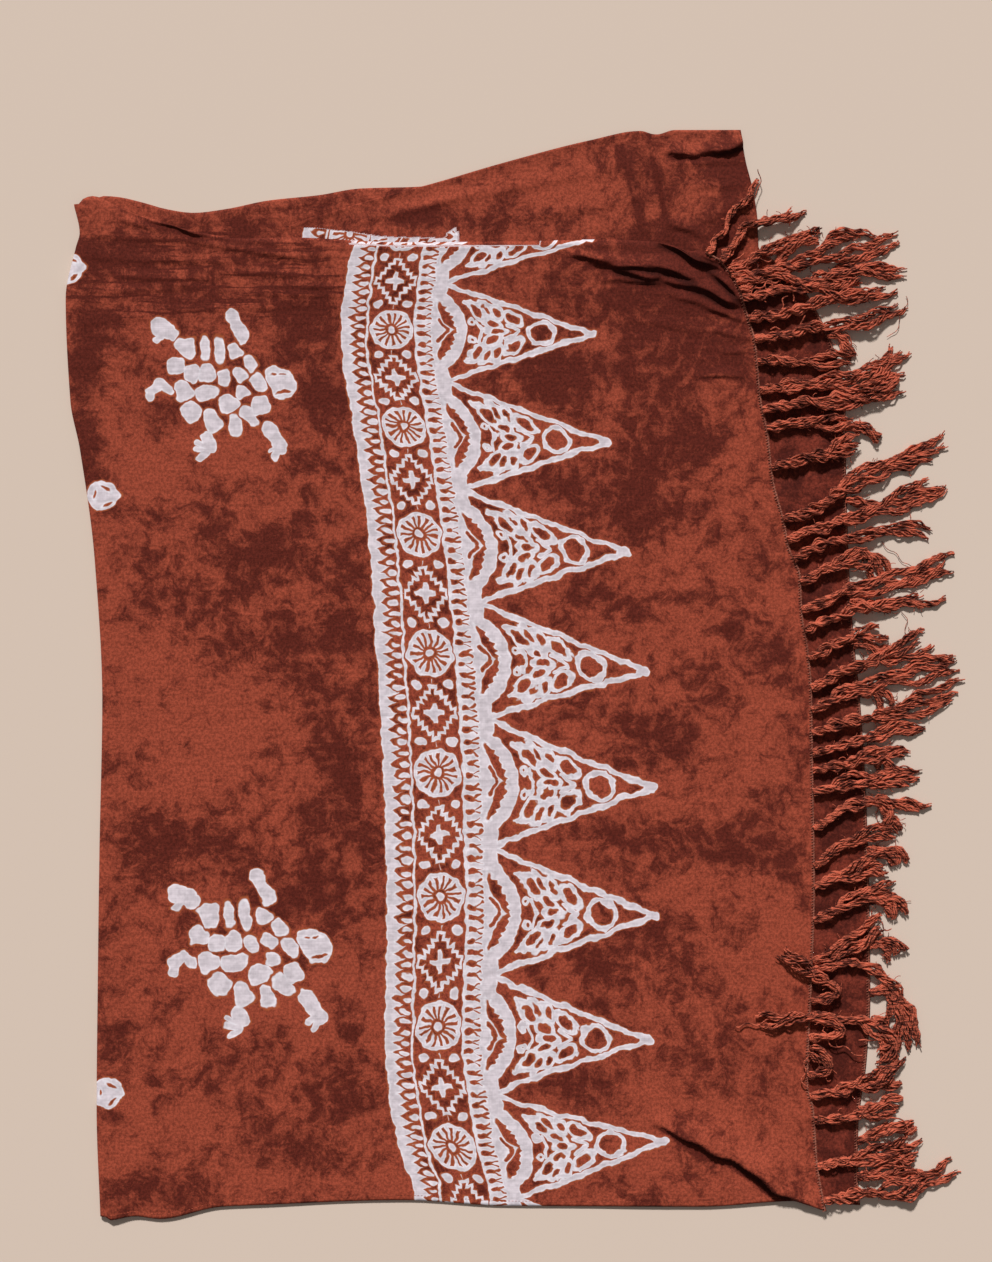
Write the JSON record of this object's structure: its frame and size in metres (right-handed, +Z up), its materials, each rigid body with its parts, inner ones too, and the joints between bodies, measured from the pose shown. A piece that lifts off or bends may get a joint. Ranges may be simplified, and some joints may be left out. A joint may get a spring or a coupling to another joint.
{
  "type": "batik sarong",
  "caption": "Crumple-dyed batik sarong with a wax-resist border and knotted fringe, folded in half and laid flat on a surface.",
  "frame": {"origin": "under the middle of the whole part, on the surface that it lies on", "axes": "+X from the fold towards the fringed ends, +Y up the width of the cloth, +Z up from the surface"},
  "size_m": [0.9738, 1.163, 0.0136],
  "materials": {
    "dyed_cloth": "soft matt rayon, crumple-dyed rust and brown, with a white wax-resist print",
    "fringe_yarn": "dull twisted yarn, wavy and slightly fuzzy"
  },
  "bodies": {
    "root": {"front_layer": "dyed_cloth", "top_flap": "dyed_cloth", "back_layer": "dyed_cloth", "front_fringe_top": "fringe_yarn", "front_fringe_middle": "fringe_yarn", "front_fringe_bottom": "fringe_yarn", "back_fringe_top": "fringe_yarn", "back_fringe_middle": "fringe_yarn", "back_fringe_bottom": "fringe_yarn"}
  },
  "joints": []
}
